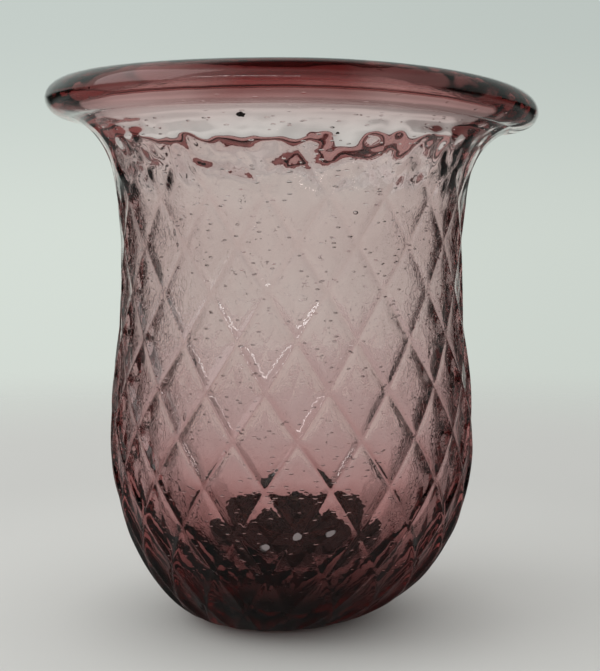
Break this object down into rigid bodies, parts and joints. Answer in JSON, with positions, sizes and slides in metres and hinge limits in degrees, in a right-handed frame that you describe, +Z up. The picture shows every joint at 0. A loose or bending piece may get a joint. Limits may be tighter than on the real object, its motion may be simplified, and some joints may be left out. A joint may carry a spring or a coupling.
{
  "type": "fairy lamp",
  "caption": "Small blown glass lamp cup with quilted diamond sides, flared rolled rim and rounded base, holding a floating cork light with tinplate discs, wick tube and cotton wick.",
  "frame": {"origin": "point of the cup's axis at the height of the flat that the cup stands on", "axes": "+Z up along the cup's axis, towards its mouth; -Y faces the picture's camera"},
  "size_m": [0.084, 0.084, 0.093],
  "materials": {
    "amethyst_glass": "clear blown glass of a purple tint, pale where it is thin and almost black where it is thick, with seed bubbles",
    "cork": "dark oiled cork with fine pores",
    "tinplate": "dull tinplate, stained by heat and oil",
    "cotton": "twisted cotton, charred at the tip"
  },
  "bodies": {
    "glass": {"glass_cup": "amethyst_glass"},
    "burner": {"cork_float": "cork", "float_plate": "tinplate", "float_washer": "tinplate", "wick_tube": "tinplate"},
    "wick": {"wick": "cotton"}
  },
  "joints": [
    {"name": "burner_lift", "type": "slide", "parent": "glass", "child": "burner", "axis": [0, 0, 1], "range_m": [0, 0.09]},
    {"name": "wick_feed", "type": "slide", "parent": "burner", "child": "wick", "axis": [0, 0, 1], "range_m": [0, 0.004]}
  ]
}
